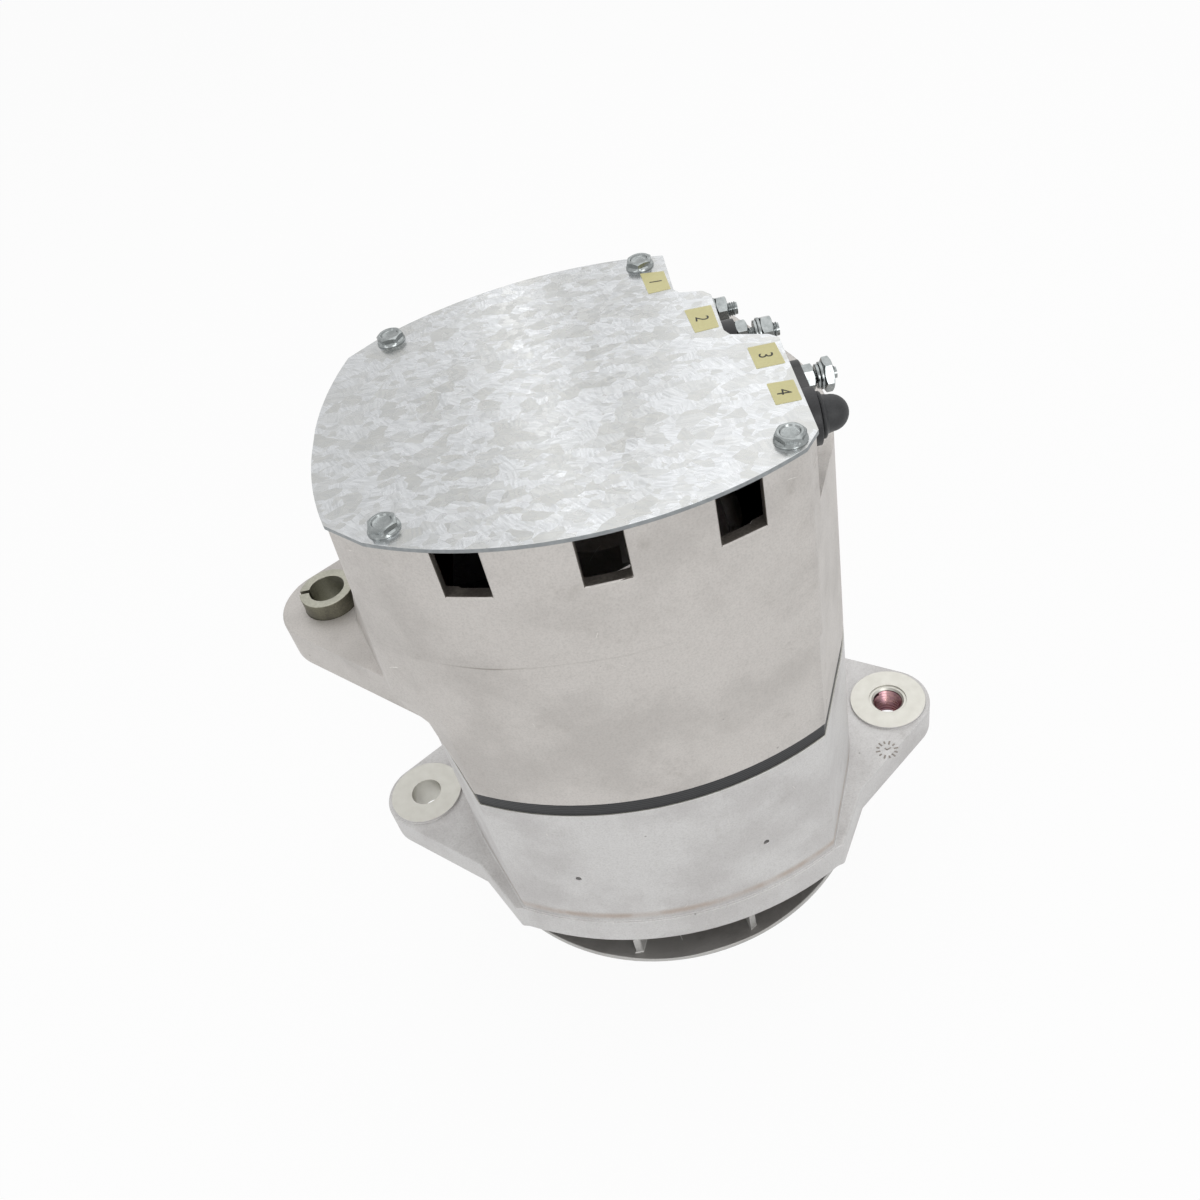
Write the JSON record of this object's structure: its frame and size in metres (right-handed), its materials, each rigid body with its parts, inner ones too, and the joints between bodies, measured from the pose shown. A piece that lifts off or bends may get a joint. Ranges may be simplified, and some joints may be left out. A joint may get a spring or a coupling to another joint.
{
  "type": "heavy-duty alternator",
  "caption": "Belt-driven heavy-duty alternator with cast frames, a hinge lug pair, a threaded adjusting ear, a fan, side terminal studs and a sheet rear cover.",
  "frame": {"origin": "on the shaft axis, in the plane of the fan hub's outer face, where a pulley seats", "axes": "+Z along the shaft towards the rear cover, -X towards the hinge lugs, +X towards the adjusting ear and the terminals"},
  "size_m": [0.2412, 0.172, 0.2851],
  "materials": {
    "cast_aluminium": "fine cast skin, slightly stained, machined faces brighter",
    "galvanised_sheet": "bright galvanised sheet with spangle",
    "zinc_plated_steel": "bright zinc plating",
    "stacked_laminations": "black varnished sheet edges",
    "enamelled_copper": "copper wire with amber varnish",
    "plain_copper": "bare copper strip",
    "bearing_steel": "ground and polished",
    "dark_steel": "dull grey steel",
    "turned_steel": "turned and ground",
    "seal_rubber": "matt black rubber",
    "moulded_plastic": "black glass-filled plastic",
    "coil_bobbin_plastic": "tan moulded plastic",
    "gold_plated_thread": "yellow passivated steel insert",
    "fan_casting": "grey cast aluminium"
  },
  "bodies": {
    "housing": {"drive_end_frame": "cast_aluminium", "ear_thread_insert": "gold_plated_thread", "stator_core": "stacked_laminations", "stator_windings": "enamelled_copper", "rear_end_frame": "cast_aluminium", "rear_cover": "galvanised_sheet", "cover_screws": "zinc_plated_steel", "through_bolts": "zinc_plated_steel", "front_bearing_outer_ring": "bearing_steel", "front_bearing_seals": "seal_rubber", "bearing_retainer": "turned_steel", "retainer_screws": "zinc_plated_steel", "rear_bearing_outer_ring": "bearing_steel", "rear_bearing_seals": "seal_rubber", "coil_support": "dark_steel", "coil_bobbin": "coil_bobbin_plastic", "field_coil": "enamelled_copper", "coil_support_screws": "zinc_plated_steel", "positive_heat_sink": "cast_aluminium", "negative_heat_sink": "cast_aluminium", "positive_diodes": "zinc_plated_steel", "negative_diodes": "zinc_plated_steel", "insulating_washers": "moulded_plastic", "heat_sink_screws": "zinc_plated_steel", "phase_straps": "plain_copper", "voltage_regulator": "moulded_plastic", "regulator_screws": "zinc_plated_steel", "noise_capacitor": "zinc_plated_steel", "capacitor_clamp": "galvanised_sheet", "capacitor_screw": "zinc_plated_steel", "positive_bar": "plain_copper", "negative_bar": "plain_copper", "positive_stud": "zinc_plated_steel", "positive_insulator": "moulded_plastic", "positive_nuts": "zinc_plated_steel", "positive_washers": "zinc_plated_steel", "negative_stud": "zinc_plated_steel", "negative_insulator": "moulded_plastic", "negative_nuts": "zinc_plated_steel", "negative_washers": "zinc_plated_steel", "terminal_block": "moulded_plastic", "signal_studs": "zinc_plated_steel", "signal_nuts": "zinc_plated_steel", "signal_washers": "zinc_plated_steel"},
    "rotor": {"rotor_shaft": "turned_steel", "fan": "fan_casting", "fan_key": "turned_steel", "fan_spacer": "turned_steel", "front_pole": "dark_steel", "rear_pole": "dark_steel", "pole_joining_ring": "turned_steel", "rotor_core_sleeve": "dark_steel", "front_bearing_inner_ring": "bearing_steel", "rear_bearing_inner_ring": "bearing_steel"},
    "front_ball_set": {"front_bearing_balls": "bearing_steel", "front_bearing_cage": "moulded_plastic"},
    "rear_ball_set": {"rear_bearing_balls": "bearing_steel", "rear_bearing_cage": "moulded_plastic"},
    "bushing": {"hinge_bushing": "dark_steel"},
    "cap": {"terminal_cap": "seal_rubber"}
  },
  "joints": [
    {"name": "rotor_spin", "type": "hinge", "parent": "housing", "child": "rotor", "pos_m": [0, 0, 0], "axis": [0, 0, 1], "continuous": true},
    {"name": "front_balls_roll", "type": "hinge", "parent": "housing", "child": "front_ball_set", "pos_m": [0, 0, 0.0275], "axis": [0, 0, 1], "continuous": true},
    {"name": "rear_balls_roll", "type": "hinge", "parent": "housing", "child": "rear_ball_set", "pos_m": [0, 0, 0.158], "axis": [0, 0, 1], "continuous": true},
    {"name": "bushing_slide", "type": "slide", "parent": "housing", "child": "bushing", "axis": [0, 0, 1], "range_m": [-0.003, 0.003]},
    {"name": "cap_pull_off", "type": "slide", "parent": "housing", "child": "cap", "axis": [1, 0, 0], "range_m": [0, 0.02]}
  ],
  "couplings": [
    {"joint": "front_balls_roll", "follows": "rotor_spin", "ratio": 0.3966},
    {"joint": "rear_balls_roll", "follows": "rotor_spin", "ratio": 0.3807}
  ]
}
